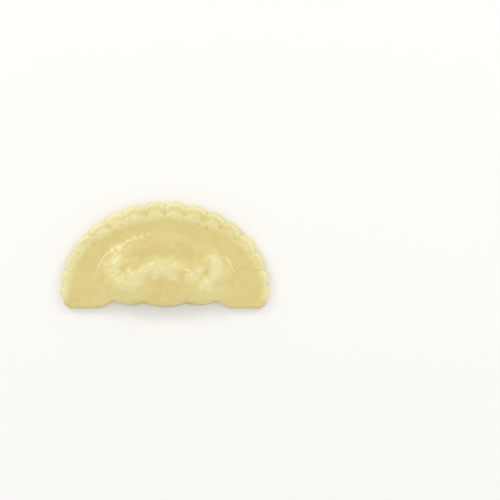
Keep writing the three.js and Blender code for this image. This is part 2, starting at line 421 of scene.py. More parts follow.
# %% How far in the pale rim reaches: further on the arc and on one scallop low on the left
FADE_MIDDLE = 2.5
FADE_HALF = 2.3
ARC_FADE_MIDDLE = 2.2
ARC_FADE_HALF = 1.0

fading = inset + 0.4 * at_notch
fading += 0.6 * wobble(x, y, size=4.5, seed=36) + 0.35 * wobble(x, y, size=1.6, seed=37)
fade_middle = FADE_MIDDLE + ARC_FADE_MIDDLE * faces_arc
fade_middle += 0.6 * bell((x + 34) / 6) * bell((y - 16) / 6) - 0.4 * bell((x + 22) / 9)
fade_half = FADE_HALF + ARC_FADE_HALF * faces_arc
whole_rim = (1 - smooth(fade_middle - fade_half, fade_middle + fade_half, fading)) * rim_tint
print("pale rim reaches", round(float(inset[whole_rim > 0.5].max()), 1), "mm in")

# %% [markdown]
# ## The dome over the filling
#
# The filling was spread flat before the sheet was folded over it. On the side of the arc the
# sheet drops off it in a crisp crease, and towards the fold it falls away softly. A half of a
# squashed sphere would be too round for that. So the height is read off a slope, by how far
# inside the dome's oval edge a place lies, and the two slopes are blended into each other.

# %% The dome's height
DOME_CENTRE_Y = 8.5
DOME_HALF_WIDTH = 25.7
DOME_TO_ARC = 19.4
DOME_TO_FOLD = 14.0
CRISP_SLOPE = [(0, 0), (5.4, 2.5), (8.8, 3.2), (14, 4.3)]
SOFT_SLOPE = [(-3, 0), (0, 0.25), (2.5, 1.0), (6, 2.7), (9, 3.5), (14, 4.3)]
CRISP_BLUR = 0.5
SOFT_BLUR = 1.5
BLUR_STEPS = 9
SOFT_TO_CRISP = (7, 16)
TINY = 1e-6


def along_slope(distance, slope, blur):
    """Height on a slope given by its corners, with the corners rounded off."""
    shifts = np.linspace(-blur, blur, BLUR_STEPS)
    return np.mean([np.interp(distance + shift, *zip(*slope)) for shift in shifts], axis=0)


def dome_height(x, y):
    """Height of the filled sheet over the sealed band, without the lumps."""
    from_centre = np.hypot(x, y - DOME_CENTRE_Y) + TINY
    reach = np.where(y > DOME_CENTRE_Y, DOME_TO_ARC, DOME_TO_FOLD)
    out = np.hypot(x / DOME_HALF_WIDTH, (y - DOME_CENTRE_Y) / reach) + TINY
    inwards = from_centre * (1 / out - 1)
    soft = along_slope(inwards, SOFT_SLOPE, SOFT_BLUR)
    crisp = along_slope(inwards, CRISP_SLOPE, CRISP_BLUR)
    return mix(soft, crisp, smooth(*SOFT_TO_CRISP, y))


dome = dome_height(*shifted(x, y, amount=0.5, size=8.0, seed=61))
print("dome is", round(float(dome.max()), 2), "mm high")

# %% [markdown]
# ## Lumps and wet drops
#
# Lumps of filling stand up under the sheet in the shape of a broad arch with a bank at each of
# its ends, and small wet drops and nubs sit along the creases. Scattered at random they would
# miss that order, so each is placed one by one as a soft oval hill. A row gives x, y, half width,
# half length, turn in degrees and height. A height below zero makes a hollow, between the arch
# and its banks.


# %% Lumps of filling, as oval hills
def hill_distance(x, y, centre_x, centre_y, half_width, half_length, turn):
    """0 in the middle of an oval, 1 on it, and more outside."""
    turn = math.radians(turn)
    dx, dy = x - centre_x, y - centre_y
    across = dx * math.cos(turn) + dy * math.sin(turn)
    along = dy * math.cos(turn) - dx * math.sin(turn)
    return np.hypot(across / half_width, along / half_length)


LUMPS = [
    (0.0, 11.0, 13.0, 6.5, 0, 0.35), (0.0, 14.6, 5.2, 3.0, 0, 0.75), (-6.2, 14.2, 3.4, 1.9, 28, 0.45),
    (6.2, 14.0, 3.4, 1.8, -33, 0.45), (-3.3, 11.4, 0.9, 1.5, 12, 0.25), (3.4, 11.6, 1.2, 1.5, -12, 0.25),
    (-12.5, 12.6, 1.8, 1.5, 0, 0.45), (-11.2, 10.4, 1.8, 2.5, 10, 0.35), (-15.6, 8.9, 2.7, 2.0, -15, 0.4),
    (-18.0, 13.0, 2.2, 3.8, 4, 0.32), (-16.9, 18.6, 1.3, 1.6, -20, 0.14), (10.4, 11.4, 2.6, 1.9, -8, 0.45),
    (15.2, 8.7, 2.1, 2.2, 15, 0.4), (18.2, 13.4, 2.2, 3.8, -4, 0.32), (16.2, 17.6, 1.4, 1.4, 0, 0.25),
    (-15.4, 13.6, 1.5, 2.9, 0, -0.55), (15.5, 12.8, 1.5, 2.4, 0, -0.55), (17.6, 17.4, 2.2, 2.2, 0, -0.3),
    (-19.6, 20.2, 1.6, 1.6, 0, 0.25),
]
lumps = np.zeros_like(x)
for *oval, lump_height in LUMPS:
    lumps += lump_height * bell(hill_distance(soft_x, soft_y, *oval))
print(len(LUMPS), "lumps, up to", round(float(lumps.max()), 2), "mm high")

# %% Wet drops and nubs, group by group
CREASE_DROPS = [
    (-20.8, 20.4, 0.5, 0.8, -45, 0.28), (-18.9, 21.5, 0.8, 1.1, -30, 0.5), (-16.3, 22.1, 0.75, 1.2, 0, 0.2),
    (-14.9, 23.3, 0.75, 0.6, 0, 0.35), (-13.9, 24.1, 0.7, 0.55, 0, 0.35), (-13.0, 24.8, 0.75, 0.6, 20, 0.35),
    (-11.5, 25.7, 0.85, 0.5, 20, 0.28), (-8.2, 26.3, 0.6, 0.35, 10, 0.18), (-5.8, 26.8, 0.4, 0.5, 0, 0.22),
    (-17.4, 19.8, 0.55, 0.8, -20, 0.3),
]
ARCH_NUBS = [
    (-4.2, 16.1, 0.8, 0.6, 30, 0.38), (-6.2, 15.3, 0.8, 0.35, 35, 0.3), (-8.4, 13.9, 0.9, 0.45, 10, 0.26),
    (-12.7, 13.4, 0.8, 0.6, 0, 0.35), (-11.5, 12.5, 0.5, 0.5, 0, 0.3), (-14.0, 7.3, 0.35, 0.3, 0, 0.25),
    (4.1, 16.2, 0.85, 0.55, 35, 0.38), (6.7, 15.4, 0.8, 0.4, -30, 0.3), (8.4, 14.0, 0.95, 0.5, 0, 0.35),
    (9.9, 12.8, 0.35, 0.8, 45, 0.28), (11.4, 13.3, 0.4, 0.8, -25, 0.3), (13.1, 12.8, 0.8, 0.4, -15, 0.35),
]
BANK_NUBS = [
    (-18.4, 12.3, 0.5, 0.4, 0, 0.3), (-18.3, 16.4, 0.6, 0.8, 20, 0.15), (16.6, 17.9, 0.35, 1.0, -50, 0.3),
    (18.3, 19.5, 0.4, 0.6, -60, 0.1), (18.7, 16.0, 0.5, 0.8, 10, 0.4), (14.8, 15.4, 0.5, 0.35, 0, 0.2),
    (19.2, 12.2, 0.5, 0.4, 0, 0.3), (17.4, 10.7, 0.4, 0.4, 0, 0.28), (18.7, 9.6, 0.4, 0.35, 0, 0.25),
    (14.9, 9.4, 0.75, 0.7, 0, 0.3),
]
RIM_DROPS = [
    (-20.4, 33.8, 0.8, 0.45, 25, 0.2), (-19.6, 31.4, 1.1, 0.6, 15, 0.22), (-24.7, 29.3, 1.0, 0.45, 35, 0.18),
    (-30.0, 24.5, 0.55, 1.1, -35, 0.26), (-26.1, 25.1, 0.9, 0.6, -10, 0.36), (2.2, 34.3, 1.0, 0.45, 20, 0.12),
    (25.9, 26.8, 1.0, 0.7, -40, 0.2), (-13.6, 32.3, 1.2, 0.7, 25, 0.14), (28.2, 24.8, 0.6, 0.9, 25, 0.14),
    (26.3, 25.6, 0.7, 0.4, 20, 0.3),
]
BEAD_EDGE = (0.5, 1.4)

beads = [*CREASE_DROPS, *ARCH_NUBS, *BANK_NUBS, *RIM_DROPS]
# Each drop and nub is also painted paler, partly for the pale filling, partly as a painted highlight for its
# wet glint
drop_paleness_and_glint = np.zeros_like(x)
for *oval, bead_height in beads:
    from_bead = hill_distance(fine_x, fine_y, *oval)
    lumps += bead_height * bell(from_bead)
    drop_paleness_and_glint = np.maximum(drop_paleness_and_glint, 1 - smooth(*BEAD_EDGE, from_bead))
print(len(beads), "drops and nubs")

# %% [markdown]
# ## Where the filling shows through
#
# Where the pale filling lies close under the thin sheet, the sheet looks creamier. A noise
# texture would put such clouds anywhere, so they are ovals as the lumps are, with a paleness in
# place of a height. Each covers part of what is still uncovered, so that they never add up to
# more than full paleness. The two hollows stay darker.

# %% Zones of pale filling
# The faint zone across the middle of the dome's fold side, at y 5.6, is partly painted light that lifts the
# shade on that flank
ZONES = [
    (0.0, 15.2, 6.6, 3.6, 0, 0.55), (-7.5, 14.2, 3.2, 1.6, 25, 0.5), (-18.4, 13.6, 2.9, 5.0, 8, 0.64),
    (-12.8, 10.2, 4.0, 3.6, 0, 0.6), (-17.0, 19.0, 1.6, 2.0, -20, 0.36), (-3.2, 11.2, 0.9, 1.6, 12, 0.45),
    (3.6, 11.6, 1.8, 1.7, -12, 0.35), (10.0, 11.4, 2.9, 2.0, -10, 0.55), (15.1, 8.6, 2.5, 2.3, 15, 0.72),
    (18.5, 15.2, 1.8, 3.7, -4, 0.66), (21.8, 13.4, 2.6, 3.6, 0, 0.36), (16.0, 5.6, 8.0, 3.6, 0, 0.32),
    (-21.0, 5.9, 7.0, 3.8, 0, 0.3), (-9.5, 5.4, 4.2, 2.2, 0, 0.14), (0.0, 5.6, 9.0, 4.0, 0, 0.18),
    (-13.5, 2.4, 6.0, 2.0, 0, 0.2), (13.5, 2.4, 6.0, 2.0, 0, 0.12), (0.0, 2.0, 6.0, 1.6, 0, 0.1),
    (-13.0, 17.4, 3.6, 1.9, 0, 0.2), (11.6, 15.6, 4.8, 2.6, -15, 0.24), (22.5, 5.8, 4.0, 3.0, 0, 0.12),
    (15.2, 16.8, 1.9, 1.9, 0, 0.36), (12.8, 13.3, 1.9, 1.7, 0, 0.45), (-15.2, 17.0, 1.7, 1.7, 0, 0.24),
    (17.3, 18.3, 1.9, 1.5, 0, 0.42), (17.7, 11.2, 1.9, 1.9, 20, 0.55), (-24.4, 12.6, 2.2, 3.2, 0, 0.22),
    (-8.6, 11.2, 3.2, 2.0, 0, 0.26), (-3.0, 13.4, 1.6, 1.6, 0, 0.2),
]
HOLLOWS = [(-15.5, 13.8, 1.3, 2.4, 0), (15.8, 13.2, 1.3, 1.9, 0)]
FAINT_ZONE = 0.3
CLEAR_ZONE_BLUR = 0.65
FAINT_ZONE_BLUR = 0.9
ZONE_STRENGTH = 0.9
HOLLOW_DARKENING = 0.25

mottle = 0.16 * wobble(x, y, size=1.5, seed=71) + 0.14 * wobble(x, y, size=0.8, seed=72)
zone_x, zone_y = shifted(soft_x, soft_y, amount=0.9, size=2.4, seed=81)
zone_share = np.zeros_like(x)
for *oval, zone_paleness in ZONES:
    blur = CLEAR_ZONE_BLUR if zone_paleness > FAINT_ZONE else FAINT_ZONE_BLUR
    here = 1 - smooth(1 - blur, 1 + blur, hill_distance(zone_x, zone_y, *oval))
    zone_share = zone_share + ZONE_STRENGTH * here * zone_paleness * (1 - zone_share)
hollows = np.maximum(*[bell(hill_distance(soft_x, soft_y, *oval)) for oval in HOLLOWS])
zone_share = np.clip(zone_share - HOLLOW_DARKENING * hollows, 0, 1)
print("filling shows through", round(float((zone_share > 0.3).mean()), 2), "of the vertices")

# %% [markdown]
# ## Wrinkles
#
# Two long creases hug the ends of the dome, where the sheet was pulled tight: sharp outside and
# gentle towards the dome, so that light catches them as a thin line. Broken wrinkles run along
# the dome's upper edge and over the arch. Along the crests of both, a painted highlight makes the
# colour paler still. A curve object could carry a ridge too, but it would lie on the skin as a cord
# does, while this lifts the skin itself.


# %% Lines to wrinkle along
def soften(corners, rounds=2):
    """Cuts a line's corners off, each time by a quarter of its steps, until it runs smoothly."""
    line = np.array(corners)
    for _ in range(rounds):
        cut = [mix(a, b, share) for a, b in zip(line, line[1:]) for share in (0.25, 0.75)]
        line = np.array([line[0], *cut, line[-1]])
    return line


TAPER_LENGTH = 2.5


def near_line(x, y, corners):
    """The distance to a line, whether a place is on its right, and how clear of its ends."""
    nearest = np.full(x.shape, np.inf)
    on_right = np.zeros_like(x)
    reached = np.zeros_like(x)
    length = 0.0
    for (ax, ay), (bx, by) in zip(corners, corners[1:]):
        dx, dy = bx - ax, by - ay
        step = math.hypot(dx, dy)
        share = np.clip(((x - ax) * dx + (y - ay) * dy) / step**2, 0, 1)
        apart = np.hypot(x - ax - share * dx, y - ay - share * dy)
        closer = apart < nearest
        reached = np.where(closer, length + share * step, reached)
        on_right = np.where(closer, (x - ax) * dy - (y - ay) * dx > 0, on_right)
        nearest = np.minimum(nearest, apart)
        length += step
    taper = smooth(0, TAPER_LENGTH, reached) * smooth(0, TAPER_LENGTH, length - reached)
    return nearest, on_right, taper


print("a corner, softened once:", soften([(0, 0), (1, 0), (1, 1)], rounds=1).tolist())

# %% Creases and wrinkles: half width, height, how broken they are, and their corners
WRINKLES = [
    (0.34, 0.4, 0.1, [(-24.8, 12.4), (-24.6, 14.0), (-23.9, 15.7), (-22.9, 17.4), (-21.3, 20.0),
                      (-19.9, 21.4)]),
    (0.3, 0.36, 0.1, [(21.6, 19.5), (22.9, 18.0), (23.8, 16.5), (24.4, 14.9), (24.8, 12.9),
                      (25.1, 11.6)]),
    (0.9, 0.2, 0.5, [(-20.6, 20.6), (-18.8, 22.0), (-16.5, 22.8), (-14.5, 24.1), (-11.5, 25.5),
                     (-6.0, 26.6)]),
    (0.45, 0.2, 1.0, [(-13.2, 12.8), (-11.6, 14.0), (-8.7, 14.0), (-6.5, 15.4), (-4.3, 16.2),
                      (-1.8, 18.7)]),
    (0.45, 0.2, 1.0, [(1.3, 18.7), (4.1, 16.4), (6.9, 15.4), (9.4, 13.1), (10.9, 12.5),
                      (11.8, 13.7), (13.8, 12.6)]),
]
UNBROKEN = 0.2
GENTLE_SIDE = 4.5
VALLEY_DEPTH = 0.2
VALLEY_PLACE = 2.2
BREAK_EDGE = 0.35

wrinkles = np.zeros_like(x)
# Where the crests lie, for a painted highlight: the dough's colour is made paler there further down
crease_highlights = np.zeros_like(x)
for number, (half_width, wrinkle_height, broken, corners) in enumerate(WRINKLES):
    is_crease = broken < UNBROKEN
    near_x, near_y = (soft_x, soft_y) if is_crease else (fine_x, fine_y)
    apart, on_right, taper = near_line(near_x, near_y, soften(corners))
    breaks = smooth(-BREAK_EDGE, BREAK_EDGE, wobble(x, y, size=1.5, seed=50 + number))
    crest = bell(apart / half_width)
    if is_crease:
        slope = np.where(on_right, bell(apart / (GENTLE_SIDE * half_width)), crest)
    else:
        slope = crest - VALLEY_DEPTH * bell((apart - VALLEY_PLACE * half_width) / half_width)
    strength = wrinkle_height * taper * (1 - broken * breaks)
    wrinkles += slope * strength
    crease_highlights += crest * strength
print("wrinkles are up to", round(float(wrinkles.max()), 2), "mm high")

# %% [markdown]
# ## Grainy and pale places, and specks
#
# Three more masks are for the second tree and the material. Grains press up where filling lies
# under the sheet, a little less on the steep side towards the arc. The rim is paler than the
# dough beside it because it is two sheets thick and was pressed dry, and also as a painted
# highlight for the soft sheen its crimp catches, strongest on the lip and the pads. It is painted
# darker in the grooves, at the pinches and right at the cut, a painted shade. Specks are bits of
# bran and herb, each one placed by x, y and darkness, because there are so few that every one
# is noticed.

# %% Where grains press up
STEEP_START = (14.5, 18)

on_slope = smooth(*STEEP_START, y)
grainy = np.clip(1.3 * zone_share * mix(1, 0.35, on_slope) + 0.3 * pad, 0, 1)
print("grains under", round(float((grainy > 0.3).mean()), 2), "of the vertices")

# %% How pale the sheet is, from 0 for plain dough to 1, with painted highlights and painted shade in it
RIM_PALENESS = 0.64
SIDE_PALENESS = 0.2
LEFT_PALENESS = 0.14
RIGHT_PALENESS = -0.13
UPPER_SIDE_X = 21
UPPER_SIDE_REACH = 8
CUT_WIDTH = 0.8
BAND_PALENESS = 0.15
UNDERSIDE_PALENESS = 0.14
UNDERSIDE_RIM_PALENESS = 0.46

rim_level = RIM_PALENESS + SIDE_PALENESS * sideways
rim_level += LEFT_PALENESS * bell((x + UPPER_SIDE_X) / UPPER_SIDE_REACH)
rim_level += RIGHT_PALENESS * bell((x - UPPER_SIDE_X) / UPPER_SIDE_REACH)
rim_paleness = whole_rim * (rim_level + 0.08 * wobble(x, y, size=5.0, seed=35) + 0.5 * mottle)
cut = (1 - smooth(0, CUT_WIDTH, inset)) * rim_tint
# Painted highlight on the lip and the pads; painted shade in the groove, at the pinches and at the cut
for change, mask in ((0.2, lip * faces_arc), (-0.38, hollow), (-0.25, pinch), (0.17, pad), (-0.3, cut)):
    rim_paleness += change * mask

band_paleness = BAND_PALENESS + 0.02 * smooth(14, 26, x) - 0.02 * smooth(14, 26, -x)
# Painted shade: over the dome the band's paleness fades out, so the dome is coloured darker to offset the
# light its slopes catch
band_paleness = band_paleness * (1 - smooth(0, 3.5, dome)) + 0.06 * faces_arc * (1 - smooth(4.5, 7.5, inset))
# The creases' crests and the drops are painted paler: painted highlights, the drops partly pale filling too
shares = (band_paleness, rim_paleness, zone_share * (1 + mottle), 2.7 * crease_highlights, 0.85 * drop_paleness_and_glint)
top_paleness = np.clip(np.maximum.reduce(shares), 0, 1)
underside = UNDERSIDE_PALENESS + UNDERSIDE_RIM_PALENESS * (1 - smooth(1.5, 5, inset)) * rim_tint
paleness = np.where(is_top > 0, top_paleness, underside)
print("mean paleness of the top", round(float(paleness[is_top > 0].mean()), 2))

# %% Specks in the dough
SPECKS = [
    (-4.7, 12.2, 0.4), (4.7, 11.8, 0.4), (-13.8, 11.1, 0.6), (13.4, 11.1, 0.6), (-14.1, 6.7, 0.8),
    (14.5, 6.4, 0.7), (-19.5, 15.1, 0.6), (-18.5, 12.9, 0.7), (19.5, 14.7, 0.7), (-2.9, 23.7, 0.6),
    (18.1, 25.9, 0.9), (15.2, 29.2, 1), (11.9, 30.5, 0.8), (-25.7, 23.4, 1), (20.1, 19.2, 0.5),
]
LEAST_SPECK_SIZE = 0.22
DARK_SPECK_GROWTH = 0.2

speck = np.zeros_like(x)
speckled_x, speckled_y = shifted(x, y, amount=0.25, size=0.5, seed=41)
for speck_x, speck_y, darkness in SPECKS:
    apart = np.hypot(speckled_x - speck_x, speckled_y - speck_y)
    speck = np.maximum(speck, darkness * bell(apart / (LEAST_SPECK_SIZE + DARK_SPECK_GROWTH * darkness)))
print(len(SPECKS), "specks")

# %% [markdown]
# ## The two sheets and their edges
#
# Along the arc the two sheets end in one cut, rounded above and below with a fine seam between
# them. Along the fold the dough runs on round the filling in one thick, soft curve. A bevel
# modifier would give both the same radius. Here the height is brought down to the edge's own
# along a quarter circle, wide on the fold and narrow on the cut. A faint painted shade, a darker
# colour in place of the shade it would sit in, helps the side of the fold that turns under to read.

# %% Edge heights and rounding
FULL_HEIGHT = 2.5
EDGE_LEVEL = 0.5
FULL_FOLD_LEVEL = 0.55
TOP_ROUNDING = 1.2
BOTTOM_ROUNDING = 1.0
RIM_BOTTOM_ROUNDING = 0.6
FULL_FOLD_ROUNDING = 1.3

edge_dome = dome_height(outline[:, 0], outline[:, 1])
full = np.broadcast_to(np.clip(edge_dome / FULL_HEIGHT, 0, 1) * (1 - station_rim), x.shape)
edge_height = RIM_LIFT * rim + SEAL_THICKNESS * (EDGE_LEVEL + FULL_FOLD_LEVEL * full)
sheet_rounding = np.where(is_top > 0, TOP_ROUNDING, mix(BOTTOM_ROUNDING, RIM_BOTTOM_ROUNDING, rim))
rounded = quarter_round(inset, sheet_rounding + FULL_FOLD_ROUNDING * full)
lift = rim * (1 - smooth(0, RIM_LIFT_REACH, inset))
print("edge is", edge_height.min().round(2), "to", edge_height.max().round(2), "mm up")

# %% The painted shade of the fold's rounded side, deeper in its notches, as x and half width of each
FOLD_NOTCHES = [(-8.1, 2.2), (8.9, 2.0), (-19.0, 2.2), (19.0, 2.2)]
TOP_SHADE_WIDTH = 0.9
BOTTOM_SHADE_WIDTH = 1.2
NOTCH_SHADE_WIDTH = 1.8

shade_width = np.where(is_top > 0, TOP_SHADE_WIDTH, BOTTOM_SHADE_WIDTH)
painted_fold_shade = (1 - smooth(0.1, shade_width, inset)) * (1 - rim_tint) * mix(0.3, 0.9, full)
fold_notch = np.maximum.reduce([bell((x - place) / width) for place, width in FOLD_NOTCHES])
painted_fold_shade += fold_notch * (1 - smooth(0.2, NOTCH_SHADE_WIDTH, inset)) * full * is_top
painted_fold_shade = np.clip(painted_fold_shade, 0, 1)
print("shaded", round(float((painted_fold_shade > 0.3).mean()), 3), "of the vertices")

# %% [markdown]
# ## The flat sheet as a mesh
#
# A mesh made from lists of numbers can carry any number of attributes on its vertices, and each
# mask becomes one. The rings join up into squares, and a fan of triangles closes the crown and
# another the middle of the underside, so the skin is one closed body. The seam between the two
# sheets is the outermost ring, pulled in a little.

# %% Vertices and faces
SEAM_DEPTH = 0.14

seam_shift = (inset == 0) * rim * SEAM_DEPTH
vertex_x = (x - seam_shift * outline_out[None, :, 0]).ravel() * MM
vertex_y = (y - seam_shift * outline_out[None, :, 1]).ravel() * MM + fold_y
flat = np.stack([vertex_x, vertex_y, np.zeros(x.size)], axis=1)
crown = len(flat)
poles = np.array([[0, deepest_inset * MM + fold_y, 0]] * 2)
flat = np.concatenate([flat, poles])

rings_to_join = np.arange(len(insets) - 1)
ring_number, station_number = np.meshgrid(rings_to_join, np.arange(STATIONS), indexing="ij")
here = ring_number * STATIONS + station_number
beside = ring_number * STATIONS + (station_number + 1) % STATIONS
squares = np.stack([here, here + STATIONS, beside + STATIONS, beside], axis=-1).reshape(-1, 4)
first = np.arange(STATIONS)
beside_first = (first + 1) % STATIONS
to_last_ring = (len(insets) - 1) * STATIONS
crown_fan = np.stack([first, beside_first, np.full(STATIONS, crown)], axis=1)
underside_fan = [beside_first + to_last_ring, first + to_last_ring, np.full(STATIONS, crown + 1)]
underside_fan = np.stack(underside_fan, axis=1)

mesh = bpy.data.meshes.new("flat_rings")
mesh.from_pydata(flat.tolist(), [], squares.tolist() + crown_fan.tolist() + underside_fan.tolist())
pasta = bpy.data.objects.new("half_moon_pasta", mesh)
bpy.context.scene.collection.objects.link(pasta)
print(len(mesh.vertices), "vertices,", len(mesh.polygons), "faces")

# %% The masks as attributes of the mesh
whole_masks = {
    "edge_height": edge_height, "rounded": rounded, "lift": lift, "seal": is_top, "upper": is_top,
    "pale": paleness, "painted_fold_shade": painted_fold_shade,
}
top_masks = {
    "dome": dome, "lumps": lumps, "wrinkles": wrinkles, "lip": lip, "hollow": hollow, "pad": pad,
    "pinch": pinch, "ledge": ledge, "grainy": grainy, "speck": speck,
}
masks = whole_masks | {name: values * is_top for name, values in top_masks.items()}
for name, values in masks.items():
    with_poles = np.append(np.ravel(values), [values[0, 0], values[-1, 0]])
    attribute = mesh.attributes.new(name, "FLOAT", "POINT")
    attribute.data.foreach_set("value", with_poles.astype(np.float32))
print(len(masks), "masks on the mesh")

# %% [markdown]
# ## Helpers for nodes and colours
#
# Shader trees and geometry trees are built the same way, so one function serves both. It adds a
# node, sets its properties, and fills each input with a number or with another node's output.
# Colours are picked on a screen, in sRGB, but Blender's sockets work in linear light, so another
# function turns one into the other.


# %% Adding a node, and a colour from its hex value
def add(tree, kind, settings=(), inputs=()):
    """A new node of a kind, with its properties set and its inputs filled or linked."""
    node = tree.nodes.new(kind)
    for name, value in dict(settings).items():
        setattr(node, name, value)
    for key, value in dict(inputs).items():
        if isinstance(value, bpy.types.NodeSocket):
            tree.links.new(value, node.inputs[key])
        else:
            node.inputs[key].default_value = value
    return node


TIMES = {"operation": "MULTIPLY"}
TIMES_PLUS = {"operation": "MULTIPLY_ADD"}


def linear(hex_colour):
    """The linear RGBA of an sRGB hex value, as Blender's sockets want it."""
    parts = [int(hex_colour[i : i + 2], 16) / 255 for i in (1, 3, 5)]
    return [p / 12.92 if p <= 0.04045 else ((p + 0.055) / 1.055) ** 2.4 for p in parts] + [1.0]


print("mid grey #808080 is", round(linear("#808080")[0], 3), "in linear light")

# %% [markdown]
# ## Raising the sheet
#
# The first tree turns the flat rings into the pasta. A displacement modifier for each mask would
# do it too, but one tree keeps them together. Each relief has an input for its height in
# millimetres, so the crimp can be made deeper without touching a mask. The heights are added
# up, then brought down to the edge's own height where the edge is rounded.

# %% Heights of the relief, and how a geometry tree starts and ends
RELIEF = {
    "lift": RIM_LIFT, "seal": SEAL_THICKNESS, "dome": 1.0, "lumps": 1.0, "wrinkles": 1.0, "lip": 0.32,
    "hollow": -0.14, "pad": 0.34, "pinch": -0.3, "ledge": -0.5,
}
relief_inputs = {f"{name} height mm": size for name, size in RELIEF.items()}


def new_tree(name, sizes):
    """A geometry tree with named number inputs and a material input, and its input sockets."""
    tree = bpy.data.node_groups.new(name, "GeometryNodeTree")
    tree.interface.new_socket("Geometry", in_out="INPUT", socket_type="NodeSocketGeometry")
    tree.interface.new_socket("Geometry", in_out="OUTPUT", socket_type="NodeSocketGeometry")
    for label, size in sizes.items():
        kind = "NodeSocketInt" if isinstance(size, int) else "NodeSocketFloat"
        tree.interface.new_socket(label, in_out="INPUT", socket_type=kind).default_value = size
    tree.interface.new_socket("Material", in_out="INPUT", socket_type="NodeSocketMaterial")
    return tree, add(tree, "NodeGroupInput").outputs


def finish_tree(tree, geometry, material):
    """Ends a tree as the export needs it: instances realized, and the material set."""
    realized = add(tree, "GeometryNodeRealizeInstances", inputs={"Geometry": geometry})
    to_dress = {"Geometry": realized.outputs[0], "Material": material}
    dressed = add(tree, "GeometryNodeSetMaterial", inputs=to_dress)
    add(tree, "NodeGroupOutput", inputs={"Geometry": dressed.outputs[0]})


print("relief:", RELIEF)

# %% The tree that raises the sheet
raising, given = new_tree("raise_the_sheet", relief_inputs)
stored = {}
for name in (*RELIEF, "edge_height", "rounded"):
    reader = add(raising, "GeometryNodeInputNamedAttribute", {"data_type": "FLOAT"}, {"Name": name})
    stored[name] = reader.outputs["Attribute"]
total = 0.0
for name in RELIEF:
    share = {0: stored[name], 1: given[f"{name} height mm"], 2: total}
    total = add(raising, "ShaderNodeMath", TIMES_PLUS, share).outputs[0]
height = add(
    raising, "ShaderNodeMix", {"data_type": "FLOAT", "clamp_factor": True},
    {0: stored["rounded"], 2: stored["edge_height"], 3: total},
)
in_metres = add(raising, "ShaderNodeMath", TIMES, {0: height.outputs[0], 1: MM})
upwards = add(raising, "ShaderNodeCombineXYZ", inputs={"Z": in_metres.outputs[0]})
raised = add(
    raising, "GeometryNodeSetPosition",
    inputs={"Geometry": given["Geometry"], "Offset": upwards.outputs[0]},
)
finish_tree(raising, raised.outputs[0], given["Material"])
print(len(raising.nodes), "nodes raise the sheet")

# %% [markdown]
# ## Grains under the sheet, and the unevenness of soft dough
#
# The filling is coarse, and its grains press up through the sheet where it is stretched over
# them. A bump texture would only paint them. The second tree scatters points over the grainy
# places and lifts the skin round each of them. It then bends the whole upper skin a little with
# two sizes of noise, because hand-soft dough is never quite even.

# %% Sizes of the grains and of the unevenness
GRAINS = {
    "Grain spacing mm": 1.15, "Grain radius mm": 0.75, "Grain height mm": 0.2, "Swell size mm": 9.0,
    "Swell height mm": 0.25, "Ripple size mm": 2.2, "Ripple height mm": 0.05, "Seed": 4,
}
MOST_GRAINS_PER_SQUARE_METRE = 6e5

grains, given = new_tree("grains_under_the_sheet", GRAINS)
metres = {}
for label in ("Grain spacing", "Grain radius", "Swell size", "Ripple size"):
    to_metres = {0: given[f"{label} mm"], 1: MM}
    metres[label] = add(grains, "ShaderNodeMath", TIMES, to_metres).outputs[0]
stored = {}
for name in ("grainy", "upper"):
    reader = add(grains, "GeometryNodeInputNamedAttribute", {"data_type": "FLOAT"}, {"Name": name})
    stored[name] = reader.outputs["Attribute"]
print("grains and unevenness:", GRAINS)

# %% Grains, as soft hills round scattered points
scattered = add(
    grains, "GeometryNodeDistributePointsOnFaces", {"distribute_method": "POISSON"},
    {"Mesh": given["Geometry"], "Distance Min": metres["Grain spacing"], "Seed": given["Seed"],
     "Density Max": MOST_GRAINS_PER_SQUARE_METRE, "Density Factor": stored["grainy"]},
)
to_nearest = {0: scattered.outputs["Points"]}
nearest = add(grains, "GeometryNodeProximity", {"target_element": "POINTS"}, to_nearest)
grain_hill = add(
    grains, "ShaderNodeMapRange", {"interpolation_type": "SMOOTHSTEP"},
    {"Value": nearest.outputs["Distance"], "From Min": metres["Grain radius"], "From Max": 0.0,
     "To Min": 0.0, "To Max": 1.0},
)
grain_share = {0: grain_hill.outputs[0], 1: stored["grainy"]}
grain_here = add(grains, "ShaderNodeMath", TIMES, grain_share).outputs[0]
lifted = {0: grain_here, 1: given["Grain height mm"]}
total = add(grains, "ShaderNodeMath", TIMES, lifted).outputs[0]
print(len(grains.nodes), "nodes so far")

# %% Swells and ripples, and the end of the tree
for kind in ("Swell", "Ripple"):
    per_metre = {0: 1.0, 1: metres[f"{kind} size"]}
    scale = add(grains, "ShaderNodeMath", {"operation": "DIVIDE"}, per_metre).outputs[0]
    waves = {"Scale": scale, "Detail": 1.0}
    noise = add(grains, "ShaderNodeTexNoise", {"noise_dimensions": "3D"}, waves).outputs[0]
    centred = add(grains, "ShaderNodeMath", {"operation": "SUBTRACT"}, {0: noise, 1: 0.5}).outputs[0]
    share = {0: centred, 1: given[f"{kind} height mm"], 2: total}
    total = add(grains, "ShaderNodeMath", TIMES_PLUS, share).outputs[0]
on_top = add(grains, "ShaderNodeMath", TIMES, {0: total, 1: stored["upper"]})
in_metres = add(grains, "ShaderNodeMath", TIMES, {0: on_top.outputs[0], 1: MM})
outwards = add(
    grains, "ShaderNodeVectorMath", {"operation": "SCALE"},
    {0: add(grains, "GeometryNodeInputNormal").outputs[0], "Scale": in_metres.outputs[0]},
)
bent = add(
    grains, "GeometryNodeSetPosition",
    inputs={"Geometry": given["Geometry"], "Offset": outwards.outputs[0]},
)
finish_tree(grains, bent.outputs[0], given["Material"])
print(len(grains.nodes), "nodes make the grains and the unevenness")

